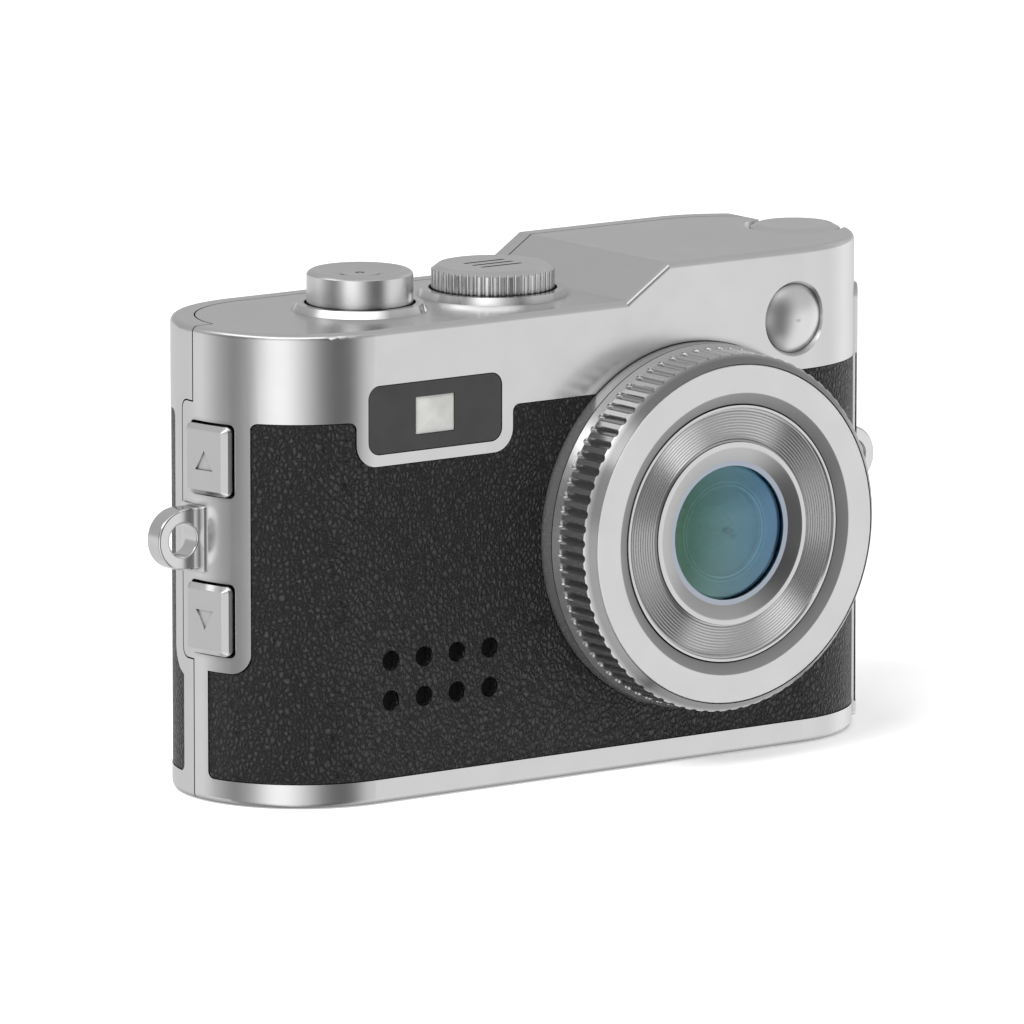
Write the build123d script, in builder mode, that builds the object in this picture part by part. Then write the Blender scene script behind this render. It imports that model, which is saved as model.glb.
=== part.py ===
from build123d import *
import os
from math import atan2, cos, pi, radians, sin, tan

# Compact retro-style digital camera.
# Frame: +Z up, -Y towards the subject, origin at the mouth of the tripod socket in the base,
# straight below the lens axis and midway through the body's thickness. Units are millimetres.
os.makedirs("parts", exist_ok=True)

# ---- Case ------------------------------------------------------------------------------------
body_width = 101.1
body_depth = 33.0
lens_to_right_end = 34.9
low_height = 60.9
step_rise = 4.4
step_run = 6.65
step_foot_from_lens = 10.15
wall = 1.8
edge_round = 0.8
rim_width = 3.2
seam_gap = 0.2
seam_groove_depth = 0.7
fit = 0.05

# ---- Leather covering ------------------------------------------------------------------------
leather_thickness = 0.6
leather_sink = 0.08
leather_gap = 0.12
leather_low = 3.1
leather_high = 49.4
leather_to_seam = 2.65
leather_corner = 1.0

# ---- Left side panel with its two keys -------------------------------------------------------
panel_front = 8.8
panel_low = 17.0
panel_corner = 2.6
tab_reach = 2.7
tab_low = 18.2
tab_high = 51.2
tab_corner = 1.2
side_level = 34.0
side_angle = 11.3
side_key_pitch = 20.5
side_key_width = 7.25
side_key_height = 9.0
side_key_proud = 1.15
side_key_corner = 0.8
side_key_gap = 0.25
side_key_inner = 13.0
side_key_flange = 0.8
side_key_lip = 0.65
side_key_bevel = 0.65
side_key_edge = 0.1
switch_board_outer = 11.5
switch_board_height = 31.0
switch_height = 0.9
standoff_radius = 1.3
arrow_base = 3.0
arrow_height = 2.55
arrow_depth = 0.25

# ---- Strap lugs ------------------------------------------------------------------------------
lug_reach = 6.3
lug_round = 3.95
lug_thickness = 2.8
lug_hole_radius = 2.1
lug_hole_edge = 0.25
lug_hole_shift = 0.2
lug_level = 33.9
lug_foot_height = 8.5
lug_foot_depth = 5.0
lug_foot_proud = 0.15
lug_edge = 0.3
lug_stem_radius = 1.5
lug_clip_radius = 2.6
lug_clip_thickness = 0.8

# ---- Cover over the right end ----------------------------------------------------------------
cover_half_width = 10.2
cover_proud = 0.5
cover_low = 0.9
cover_high = 58.3
cover_corner = 1.6

# ---- Flash -----------------------------------------------------------------------------------
flash_x = -40.3
flash_z = 49.36
flash_width = 20.6
flash_height = 8.67
flash_corner = 1.6
flash_depth = 1.0
flash_border = 1.8
flash_drop = 1.56
flash_gap = 0.12
diffuser_width = 6.03
diffuser_height = 4.8

# ---- Speaker ---------------------------------------------------------------------------------
speaker_hole_radius = 1.32
speaker_pitch = 5.14
speaker_columns = 4
speaker_rows = 2
speaker_x = -39.53
speaker_z = 15.72
speaker_radius = 9.8
speaker_thickness = 3.2

# ---- Selfie mirror ---------------------------------------------------------------------------
mirror_x = 17.0
mirror_z = 56.1
mirror_recess_radius = 4.93
mirror_radius = 4.5
mirror_seat = 1.3
mirror_bulge = 1.3

# ---- Lens, measured forward from the front of the case ---------------------------------------
lens_level = 31.0
boss_radius = 23.7
boss_height = 2.05
boss_sink = 1.0
spigot_radius = 18.0
guide_radius = 20.2
guide_bore = 17.5
guide_height = 8.0
ring_radius = 23.23
ring_back = 2.15
ring_flute_start = 3.35
ring_flute_end = 8.35
ring_front = 9.68
flute_count = 78
flute_radius = 0.66
flute_sink = 0.4
plate_radius = 22.0
plate_cone_radius = 18.31
plate_inner_radius = 16.83
plate_front = 9.7
plate_cone_depth = 0.64
dress_inner_radius = 11.85
dress_front = 8.85
dress_groove_count = 11
dress_groove_depth = 0.12
retainer_cone_radius = 11.28
retainer_front = 9.07
glass_radius = 9.3
glass_opening = 8.72
glass_edge_low = 7.2
glass_edge_high = 8.1
glass_apex = 9.3
barrel_radius = 11.8
barrel_bore = 9.0
barrel_back_y = 5.0
inner_ring_radius = 5.6
aperture_radius = 2.2

# ---- Shutter button --------------------------------------------------------------------------
shutter_x = -41.26
shutter_y = -1.3
shutter_radius = 6.83
shutter_rim_radius = shutter_radius - 0.98
shutter_shoulder = 4.65
shutter_top = 5.2
shutter_gap = 0.32
shutter_travel = 1.2
shutter_collar_top_radius = shutter_radius + 1.27
shutter_collar_radius = shutter_collar_top_radius + 0.52
collar_height = 0.95
shutter_floor_drop = 4.4
spring_radius = 3.6
spring_wire = 0.25
spring_turns = 4

# ---- Mode dial -------------------------------------------------------------------------------
mode_x = -20.4
mode_y = -1.37
mode_radius = 7.95
mode_top_radius = 7.07
mode_shoulder = 3.35
mode_top = 4.0
mode_gap = 0.35
mode_flutes = 48
mode_flute_radius = 0.36
mode_collar_radius = 9.66
mode_collar_top_radius = 9.3

# ---- Thumb dial in its corner pocket ---------------------------------------------------------
thumb_from_right = 6.0
thumb_y = -0.6
thumb_radius = 5.93
thumb_top_radius = 4.92
thumb_proud = 0.25
thumb_bevel = 0.55
thumb_gap = 0.7
thumb_teeth = 44
thumb_tooth_radius = 0.24
pocket_depth = 2.9
pocket_side_from_right = 6.9

# ---- Back of the camera ----------------------------------------------------------------------
screen_x = -6.5
screen_z = 27.0
screen_width = 49.0
screen_height = 38.0
screen_corner = 1.5
screen_glass = 1.1
screen_border = 1.6
module_thickness = 3.2
pad_x = -41.0
pad_z = 20.0
pad_radius = 7.0
ok_radius = 3.1
key_z = 37.0
key_spread = 9.4
key_radius = 2.6
back_key_proud = 0.7
back_key_gap = 0.2
back_key_travel = 0.4

# ---- Battery and its door in the base --------------------------------------------------------
battery_left = -54.0
battery_width = 30.0
battery_front = -5.0
battery_thickness = 7.5
battery_height = 40.0
door_margin = 1.4
door_gap = 0.2
door_thickness = 1.6
hinge_radius = 1.25
hinge_pin_radius = 0.5
door_rest = 2.4

# ---- Fastening -------------------------------------------------------------------------------
socket_radius = 3.175
socket_depth = 5.5
socket_flange_radius = 5.2
post_radius = 2.4
post_from_left_end = 8.2
upper_post_from_left_end = 12.2
post_from_right_end = 7.9
post_low = 7.0
post_high = 46.5
post_meet = 6.0
screw_radius = 0.9
screw_head_radius = 1.6
screw_head_height = 1.2
screw_length = 7.5
board_thickness = 1.4

# ---- Derived places --------------------------------------------------------------------------
end_radius = body_depth / 2
body_right = lens_to_right_end
body_left = body_right - body_width
body_middle = (body_left + body_right) / 2
left_arc_x = body_left + end_radius
right_arc_x = body_right - end_radius
high_height = low_height + step_rise
step_foot_x = -step_foot_from_lens
step_crest_x = step_foot_x + step_run
half_slope = tan(atan2(step_rise, step_run) / 2)
front_y = -end_radius
back_y = end_radius
front_inside = front_y + wall
back_inside = back_y - wall
low_inside = low_height - wall
thumb_x = body_right - thumb_from_right
pocket_floor = high_height - pocket_depth
pocket_side_x = body_right - pocket_side_from_right
post_places = [
    (body_left + post_from_left_end, post_low),
    (body_left + upper_post_from_left_end, post_high),
    (body_right - post_from_right_end, post_low),
    (body_right - post_from_right_end, post_high),
]
flash_frame_width = flash_width + 2 * flash_border
flash_frame_low = flash_z - flash_height / 2 - flash_drop
flash_frame_corner = flash_corner + flash_border * 0.75

# Planes: the lens profile plane has the radius as x and the distance in front of the case as y.
lens_profile = Plane(origin=(0, front_y, lens_level), x_dir=(1, 0, 0), z_dir=(0, 0, -1))
lens_axis = Axis((0, front_y, lens_level), (0, -1, 0))
side_out = Vector(-cos(radians(side_angle)), -sin(radians(side_angle)), 0)
side_forward = Vector(sin(radians(side_angle)), -cos(radians(side_angle)), 0)
side_plane = Plane(origin=(left_arc_x, 0, side_level), x_dir=side_forward, z_dir=side_out)


def facing_front(distance):
    """A plane parallel to the case front, looking out towards the subject, at y = distance."""
    return Plane(origin=(0, distance, 0), x_dir=(1, 0, 0), z_dir=(0, -1, 0))


def body_form(inset):
    """The case's outside shape, pulled in by inset on every side."""
    with BuildPart() as form:
        with BuildSketch(Plane.XY.offset(inset)):
            with Locations((body_middle, 0)):
                SlotOverall(body_width - 2 * inset, body_depth - 2 * inset)
        extrude(amount=high_height - 2 * inset)
        with BuildSketch(facing_front(body_depth)):
            with BuildLine():
                Polyline(
                    (body_left - body_depth, low_height - inset),
                    (step_foot_x + inset * half_slope, low_height - inset),
                    (step_crest_x + inset * half_slope, high_height - inset),
                    (step_crest_x + inset * half_slope, high_height + body_depth),
                    (body_left - body_depth, high_height + body_depth),
                    close=True,
                )
            make_face()
        extrude(amount=2 * body_depth, mode=Mode.SUBTRACT)
    return form.part


def rounded_body():
    """The outside shape with its top and bottom rims rounded."""
    with BuildPart() as form:
        add(body_form(0))
        upper_faces = form.faces().filter_by(lambda face: face.normal_at().Z > 0.5)
        rims = upper_faces.edges().filter_by(Axis.Y, reverse=True)
        fillet(rims, edge_round)
        fillet(form.faces().sort_by(Axis.Z)[0].edges(), edge_round)
    return form.part


def front_zone(growth):
    """What belongs to the front shell: the front half, the plates inside the rear rim, the side tab."""
    with BuildPart() as zone:
        with BuildSketch(Plane.XY.offset(-1)):
            with Locations((body_middle, (growth - body_depth) / 2)):
                Rectangle(body_width + body_depth, body_depth + growth)
            with Locations((body_middle, 0)):
                reach = 2 * (rim_width - growth)
                SlotOverall(body_width - reach, body_depth - reach)
        extrude(amount=high_height + 2)
        with BuildSketch(Plane.YZ.offset(body_left - 1)):
            with Locations((0, (tab_low + tab_high) / 2)):
                RectangleRounded(
                    2 * (tab_reach + growth), tab_high - tab_low + 2 * growth, tab_corner + growth
                )
        extrude(amount=rim_width + 3)
    return zone.part


def leather_field(inset, gap, zone):
    """A layer of the case wall inside a zone, from inset to the bed, its corners rounded."""
    low = leather_low + gap
    high = leather_high - gap
    with BuildPart() as field:
        add(body_form(inset))
        add(body_form(leather_thickness + leather_sink), mode=Mode.SUBTRACT)
        with BuildSketch(Plane.XY.offset(low)):
            with Locations((body_middle, 0)):
                Rectangle(2 * body_width, 2 * body_depth)
        extrude(amount=high - low, mode=Mode.INTERSECT)
        add(zone, mode=Mode.INTERSECT)
        level_edges = field.edges().filter_by(GeomType.LINE).filter_by(
            lambda edge: edge.length < 2 * wall and abs(edge.tangent_at(0).Z) < fit
        )
        corners = level_edges.filter_by(
            lambda edge: min(abs(edge.center().Z - low), abs(edge.center().Z - high)) < fit
        )
        fillet(corners, leather_corner - gap)
    return field.part


def front_leather_zone(shrink):
    """The stretch of wall that the front leather covers, seen as one solid block."""
    side_edge = -leather_to_seam - shrink
    with BuildPart() as zone:
        with BuildSketch(Plane.XY):
            with Locations((body_middle, side_edge - body_depth)):
                Rectangle(2 * body_width, 2 * body_depth)
        extrude(amount=high_height)
        # bottom corners of the leather at the left end
        with BuildSketch(Plane.YZ.offset(body_left - 1)):
            with Locations((0, (panel_low + high_height + shrink) / 2 - shrink)):
                RectangleRounded(
                    2 * (panel_front + shrink), high_height - panel_low + shrink, panel_corner
                )
        extrude(amount=end_radius, mode=Mode.SUBTRACT)
        # the flash frame hangs down into the leather
        with BuildSketch(facing_front(0)):
            with Locations((flash_x, (flash_frame_low + high_height) / 2)):
                RectangleRounded(
                    flash_frame_width + 2 * shrink,
                    high_height - flash_frame_low + 2 * shrink,
                    flash_frame_corner,
                )
        extrude(amount=body_depth, mode=Mode.SUBTRACT)
        # leather stops at the end cover
        with BuildSketch(Plane.YZ.offset(right_arc_x)):
            with Locations((0, high_height / 2)):
                Rectangle(2 * (cover_half_width + shrink), 2 * high_height)
        extrude(amount=end_radius + 1, mode=Mode.SUBTRACT)
    return zone.part


def rear_leather_zone(shrink):
    """The stretch of wall that the back leather covers, seen as one solid block."""
    side_edge = leather_to_seam + shrink
    with BuildPart() as zone:
        with BuildSketch(Plane.XY):
            with Locations((body_middle, side_edge + body_depth)):
                Rectangle(2 * body_width, 2 * body_depth)
        extrude(amount=high_height)
        with BuildSketch(Plane.YZ.offset(body_left - 1)):
            with Locations((0, (tab_low + tab_high) / 2)):
                RectangleRounded(
                    2 * (tab_reach + leather_to_seam + shrink),
                    tab_high - tab_low + 2 * (leather_to_seam + shrink),
                    tab_corner + leather_to_seam,
                )
        extrude(amount=end_radius, mode=Mode.SUBTRACT)
        with BuildSketch(Plane.YZ.offset(right_arc_x)):
            with Locations((0, high_height / 2)):
                Rectangle(2 * (cover_half_width + shrink), 2 * high_height)
        extrude(amount=end_radius + 1, mode=Mode.SUBTRACT)
        with BuildSketch(facing_front(body_depth)):
            with Locations((screen_x, screen_z)):
                RectangleRounded(
                    screen_width + 2 * (screen_border + shrink),
                    screen_height + 2 * (screen_border + shrink),
                    screen_corner + screen_border,
                )
            with Locations((pad_x, pad_z)):
                Circle(pad_radius + back_key_gap + screen_border / 2 + shrink)
            with Locations((pad_x - key_spread / 2, key_z), (pad_x + key_spread / 2, key_z)):
                Circle(key_radius + back_key_gap + screen_border / 2 + shrink)
        extrude(amount=body_depth, mode=Mode.SUBTRACT)
    return zone.part


def end_cover_zone(gap):
    """The patch of the right end that the end cover occupies."""
    with BuildPart() as zone:
        with BuildSketch(Plane.YZ.offset(right_arc_x)):
            with Locations((0, (cover_low + cover_high) / 2)):
                RectangleRounded(
                    2 * (cover_half_width + gap), cover_high - cover_low + 2 * gap, cover_corner
                )
        extrude(amount=end_radius + cover_proud + 1)
    return zone.part


def end_layer(inner_radius, outer_radius):
    """Half a tube standing round the right end."""
    with BuildPart() as layer:
        with BuildSketch(Plane.XY):
            with Locations((right_arc_x, 0)):
                Circle(outer_radius)
                Circle(inner_radius, mode=Mode.SUBTRACT)
        extrude(amount=high_height)
    return layer.part


def dial_corner():
    """The thicker corner that carries the thumb dial."""
    with BuildPart() as corner:
        add(half_wall_form)
        with BuildSketch(Plane.XY.offset(pocket_floor - wall)):
            with Locations((thumb_x, thumb_y)):
                Circle(thumb_radius + thumb_gap + wall)
            with Locations(((pocket_side_x - wall + body_right) / 2, end_radius / 2)):
                Rectangle(body_right - pocket_side_x + wall, end_radius)
        extrude(amount=pocket_depth, mode=Mode.INTERSECT)
    return corner.part


def cover_recess():
    """The seat of the end cover in the right end."""
    with BuildPart() as recess:
        add(end_layer(end_radius - cover_proud, end_radius + 1))
        add(end_cover_zone(leather_gap), mode=Mode.INTERSECT)
    return recess.part


def case_post(place, rear_end, front_end):
    """A round post along the depth of the case, from rear_end to front_end or into the wall."""
    with BuildPart() as post:
        with BuildSketch(facing_front(rear_end)):
            with Locations(place):
                Circle(post_radius)
        extrude(amount=rear_end - front_end)
        add(half_wall_form, mode=Mode.INTERSECT)
    return post.part


def case_solid():
    """Both shells as one piece: walls, thumb dial pocket, recesses for the covering."""
    with BuildPart() as case:
        add(rounded_body())
        add(body_form(wall), mode=Mode.SUBTRACT)
        add(dial_corner())
        with BuildSketch(Plane.XY.offset(pocket_floor)):
            with Locations((thumb_x, thumb_y)):
                Circle(thumb_radius + thumb_gap)
            with Locations(((pocket_side_x + body_right + 1) / 2, (end_radius + 1) / 2)):
                Rectangle(body_right + 1 - pocket_side_x, end_radius + 1)
        extrude(amount=pocket_depth + 1, mode=Mode.SUBTRACT)
        add(leather_field(-1, 0, front_leather_zone(0)), mode=Mode.SUBTRACT)
        add(leather_field(-1, 0, rear_leather_zone(0)), mode=Mode.SUBTRACT)
        add(cover_recess(), mode=Mode.SUBTRACT)
        # one straight bore through both ends for the strap lugs' stems
        with BuildSketch(Plane.YZ.offset(body_left - 1)):
            with Locations((0, lug_level)):
                Circle(lug_stem_radius + fit)
        extrude(amount=body_width + 2, mode=Mode.SUBTRACT)
    return case.part


half_wall_form = body_form(wall / 2)
case_block = case_solid()

# ---- Front shell: front wall, top plate, base plate and the side tab -------------------------
collar_bore = shutter_collar_radius - 1.1
stem_hole = 1.7
door_left = battery_left - door_margin
door_width = battery_width + 2 * door_margin
door_front = battery_front - door_margin
door_depth = battery_thickness + 2 * door_margin
hinge_y = door_front + door_depth
hinge_z = hinge_radius

with BuildPart() as front_shell:
    add(case_block)
    add(front_zone(0), mode=Mode.INTERSECT)
    # posts that the case screws bite into
    for place in post_places:
        add(case_post(place, post_meet, -body_depth))
    with BuildSketch(facing_front(post_meet)):
        with Locations(*post_places):
            Circle(screw_radius)
    extrude(amount=screw_length, mode=Mode.SUBTRACT)
    # lens opening
    with BuildSketch(facing_front(front_inside)):
        with Locations((0, lens_level)):
            Circle(spigot_radius)
    extrude(amount=wall + 1, mode=Mode.SUBTRACT)
    with BuildSketch(facing_front(front_y + boss_sink)):
        with Locations((0, lens_level)):
            Circle(boss_radius + leather_gap)
    extrude(amount=wall + 1, mode=Mode.SUBTRACT)
    # flash window seat and the light's opening behind it
    with BuildSketch(facing_front(front_y + flash_depth)):
        with Locations((flash_x, flash_z)):
            RectangleRounded(
                flash_width + 2 * flash_gap, flash_height + 2 * flash_gap, flash_corner + flash_gap
            )
    extrude(amount=flash_depth + 1, mode=Mode.SUBTRACT)
    with BuildSketch(facing_front(front_inside)):
        with Locations((flash_x, flash_z)):
            Rectangle(diffuser_width, diffuser_height)
    extrude(amount=wall, mode=Mode.SUBTRACT)
    # speaker holes
    with BuildSketch(facing_front(front_inside)):
        with Locations((speaker_x, speaker_z)):
            with GridLocations(speaker_pitch, speaker_pitch, speaker_columns, speaker_rows):
                Circle(speaker_hole_radius)
    extrude(amount=wall, mode=Mode.SUBTRACT)
    # mirror recess with a bevelled mouth
    with BuildSketch(facing_front(front_y + mirror_seat)):
        with Locations((mirror_x, mirror_z)):
            Circle(mirror_radius)
    extrude(amount=mirror_seat + 1, mode=Mode.SUBTRACT)
    with BuildSketch(facing_front(front_y + mirror_seat / 2)) as mouth_back:
        with Locations((mirror_x, mirror_z)):
            Circle(mirror_radius)
    with BuildSketch(facing_front(front_y)) as mouth_front:
        with Locations((mirror_x, mirror_z)):
            Circle(mirror_recess_radius)
    loft([mouth_back.sketch, mouth_front.sketch], mode=Mode.SUBTRACT)
    # openings in the top plate
    with BuildSketch(Plane.XY.offset(low_inside)):
        with Locations((shutter_x, shutter_y)):
            Circle(collar_bore)
        with Locations((mode_x, mode_y)):
            Circle(stem_hole)
    extrude(amount=wall + 1, mode=Mode.SUBTRACT)
    with BuildSketch(Plane.XY.offset(pocket_floor - wall)):
        with Locations((thumb_x, thumb_y)):
            Circle(stem_hole)
    extrude(amount=wall, mode=Mode.SUBTRACT)
    # openings for the two side keys
    with BuildSketch(side_plane.offset(end_radius - 2 * wall)):
        with GridLocations(0, side_key_pitch, 1, 2):
            RectangleRounded(
                side_key_width + 2 * side_key_gap, side_key_height + 2 * side_key_gap, side_key_corner
            )
    extrude(amount=3 * wall, mode=Mode.SUBTRACT)
    # standoff for the side keys' switch board
    with BuildSketch(side_plane.offset(switch_board_outer)):
        with Locations((side_key_width / 3, 0)):
            Circle(standoff_radius)
    extrude(amount=end_radius - wall / 2 - switch_board_outer)
    # tripod socket seat
    with BuildSketch(Plane.XY.offset(wall / 2)):
        Circle(socket_flange_radius + wall)
    extrude(amount=socket_depth + wall / 2)
    with BuildSketch(Plane.XY):
        Circle(socket_flange_radius)
    extrude(amount=socket_depth, mode=Mode.SUBTRACT)
    # battery door opening, with a bearing block at each end of the hinge
    for bearing_x in (door_left - door_gap - door_rest, door_left + door_width + door_gap):
        with BuildSketch(Plane.YZ.offset(bearing_x)):
            with Locations((hinge_y, hinge_z + hinge_radius / 2)):
                Rectangle(2 * hinge_radius + wall, 3 * hinge_radius)
        extrude(amount=door_rest)
    with BuildSketch(Plane.XY):
        with Locations((door_left + door_width / 2, (door_front + hinge_y + hinge_radius) / 2)):
            Rectangle(door_width + 2 * door_gap, door_depth + hinge_radius + 2 * door_gap)
    extrude(amount=4 * hinge_radius, mode=Mode.SUBTRACT)
    with BuildSketch(Plane.YZ.offset(door_left - door_gap - door_rest)):
        with Locations((hinge_y, hinge_z)):
            Circle(hinge_pin_radius)
    extrude(amount=door_width + 2 * (door_gap + door_rest), mode=Mode.SUBTRACT)
front_shell.part.label = "front_shell"
export_step(front_shell.part, "parts/front_shell.step")

# ---- Rear shell: back wall, both ends behind the seam, and the rim ---------------------------
key_places = [(pad_x - key_spread / 2, key_z), (pad_x + key_spread / 2, key_z)]
key_board_behind = 4.2
key_board_y = back_inside - key_board_behind
key_post_radius = 1.5
key_post_spread = 6.0
key_post_z = key_z - 7.0
key_post_places = [(pad_x - key_post_spread, key_post_z), (pad_x + key_post_spread, key_post_z)]


def seam_groove():
    """The fine line left open round the edge of the front shell."""
    with BuildPart() as groove:
        add(front_zone(seam_gap))
        add(body_form(seam_groove_depth), mode=Mode.SUBTRACT)
    return groove.part


with BuildPart() as rear_shell:
    add(case_block)
    add(front_zone(0), mode=Mode.SUBTRACT)
    add(seam_groove(), mode=Mode.SUBTRACT)
    # bosses that meet the front shell's posts
    for place in post_places:
        add(case_post(place, body_depth, post_meet))
    with BuildSketch(facing_front(body_depth)):
        with Locations(*post_places):
            Circle(screw_radius)
    extrude(amount=body_depth, mode=Mode.SUBTRACT)
    with BuildSketch(facing_front(body_depth)):
        with Locations(*post_places):
            Circle(screw_head_radius + fit)
    extrude(amount=body_depth - post_meet - screw_head_height, mode=Mode.SUBTRACT)
    # screen opening and the rebate for its window
    with BuildSketch(facing_front(back_y + 1)):
        with Locations((screen_x, screen_z)):
            Rectangle(screen_width - 2 * screen_border, screen_height - 2 * screen_border)
    extrude(amount=wall + 2, mode=Mode.SUBTRACT)
    with BuildSketch(facing_front(back_y + 1)):
        with Locations((screen_x, screen_z)):
            RectangleRounded(screen_width, screen_height, screen_corner)
    extrude(amount=screen_glass + 1, mode=Mode.SUBTRACT)
    # key openings
    with BuildSketch(facing_front(back_y + 1)):
        with Locations((pad_x, pad_z)):
            Circle(pad_radius + back_key_gap)
        with Locations(*key_places):
            Circle(key_radius + back_key_gap)
    extrude(amount=wall + 2, mode=Mode.SUBTRACT)
    # standoffs for the key board
    with BuildSketch(facing_front(back_inside)):
        with Locations(*key_post_places):
            Circle(key_post_radius)
    extrude(amount=back_inside - key_board_y)
rear_shell.part.label = "rear_shell"
export_step(rear_shell.part, "parts/rear_shell.step")

# ---- Leather skins ---------------------------------------------------------------------------
with BuildPart() as front_leather:
    add(leather_field(leather_sink, leather_gap, front_leather_zone(leather_gap)))
    with BuildSketch(facing_front(front_inside)):
        with Locations((0, lens_level)):
            Circle(boss_radius + leather_gap)
        with Locations((speaker_x, speaker_z)):
            with GridLocations(speaker_pitch, speaker_pitch, speaker_columns, speaker_rows):
                Circle(speaker_hole_radius)
    extrude(amount=wall + 1, mode=Mode.SUBTRACT)
front_leather.part.label = "front_leather"
export_step(front_leather.part, "parts/front_leather.step")

with BuildPart() as rear_leather:
    add(leather_field(leather_sink, leather_gap, rear_leather_zone(leather_gap)))
rear_leather.part.label = "rear_leather"
export_step(rear_leather.part, "parts/rear_leather.step")

# ---- End cover and its leather ---------------------------------------------------------------
cover_skin_inner = end_radius + cover_proud - leather_thickness / 2


def cover_inlay(gap, outer_radius):
    """The leather's field on the end cover, from its bed out to outer_radius."""
    with BuildPart() as inlay:
        add(end_layer(cover_skin_inner, outer_radius))
        with BuildSketch(Plane.XY.offset(leather_low + gap)):
            with Locations((right_arc_x, 0)):
                Rectangle(4 * end_radius, 4 * end_radius)
        extrude(amount=leather_high - leather_low - 2 * gap, mode=Mode.INTERSECT)
    return inlay.part


with BuildPart() as end_cover:
    add(end_layer(end_radius - cover_proud, end_radius + cover_proud))
    add(end_cover_zone(0), mode=Mode.INTERSECT)
    add(cover_inlay(0, end_radius + cover_proud + 1), mode=Mode.SUBTRACT)
    with BuildSketch(Plane.YZ.offset(body_right - 2 * wall)):
        with Locations((0, lug_level)):
            Circle(lug_stem_radius + fit)
    extrude(amount=4 * wall, mode=Mode.SUBTRACT)
end_cover.part.label = "end_cover"
export_step(end_cover.part, "parts/end_cover.step")

with BuildPart() as end_leather:
    add(cover_inlay(leather_gap, end_radius + cover_proud - leather_sink))
    add(end_cover_zone(0), mode=Mode.INTERSECT)
    with BuildSketch(Plane.YZ.offset(body_right - wall)):
        with Locations((0, lug_level)):
            Rectangle(lug_foot_depth + 2 * leather_gap, lug_foot_height + 2 * leather_gap)
    extrude(amount=2 * wall, mode=Mode.SUBTRACT)
end_leather.part.label = "end_leather"
export_step(end_leather.part, "parts/end_leather.step")


# ---- Strap lugs, each with a stem through the wall and a clip inside -------------------------
def strap_lug(end_x, outward, seat_radius, arc_x):
    """A rounded eye on a small foot; the foot's back is hollowed to lie on the curved end."""
    eye_x = end_x + outward * (lug_reach - lug_round)
    hole_x = eye_x + outward * lug_hole_shift
    with BuildPart() as lug:
        with BuildSketch(facing_front(lug_thickness / 2)):
            with Locations((eye_x, lug_level)):
                Circle(lug_round)
            with Locations(((eye_x + end_x - outward * wall) / 2, lug_level)):
                Rectangle(abs(eye_x - end_x) + wall, 2 * lug_round)
        extrude(amount=lug_thickness)
        with BuildSketch(Plane.YZ.offset(end_x - outward * wall)):
            with Locations((0, lug_level)):
                RectangleRounded(lug_foot_depth, lug_foot_height, lug_edge)
        extrude(amount=outward * (wall + lug_foot_proud))
        with BuildSketch(facing_front(lug_foot_depth)):
            with Locations((hole_x, lug_level)):
                Circle(lug_hole_radius)
        extrude(amount=2 * lug_foot_depth, mode=Mode.SUBTRACT)
        with BuildSketch(Plane.XY):
            with Locations((arc_x, 0)):
                Circle(seat_radius)
        extrude(amount=high_height, mode=Mode.SUBTRACT)
        hole_rims = lug.edges().filter_by(GeomType.CIRCLE).filter_by(
            lambda edge: abs(edge.radius - lug_hole_radius) < fit
        )
        fillet(hole_rims, lug_hole_edge)
        outer_rims = lug.edges().filter_by(GeomType.CIRCLE).filter_by(
            lambda edge: abs(edge.radius - lug_round) < fit and abs(edge.length - pi * lug_round) < 1
        )
        fillet(outer_rims, lug_edge)
        with BuildSketch(Plane.YZ.offset(end_x)):
            with Locations((0, lug_level)):
                Circle(lug_stem_radius)
        extrude(amount=-outward * (wall + lug_edge + lug_clip_thickness + cover_proud))
    return lug.part


strap_lug_left = strap_lug(body_left, -1, end_radius, left_arc_x)
strap_lug_left.label = "strap_lug_left"
export_step(strap_lug_left, "parts/strap_lug_left.step")
strap_lug_right = strap_lug(body_right + cover_proud, 1, end_radius + cover_proud / 2, right_arc_x)
strap_lug_right.label = "strap_lug_right"
export_step(strap_lug_right, "parts/strap_lug_right.step")

clip_reach = wall + lug_edge
with BuildPart() as lug_clips:
    for end_x, outward in ((body_left, -1), (body_right, 1)):
        with BuildSketch(Plane.YZ.offset(end_x - outward * clip_reach)):
            with Locations((0, lug_level)):
                Circle(lug_clip_radius)
                Circle(lug_stem_radius, mode=Mode.SUBTRACT)
        extrude(amount=-outward * lug_clip_thickness)
lug_clips.part.label = "lug_clips"
export_step(lug_clips.part, "parts/lug_clips.step")


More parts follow.
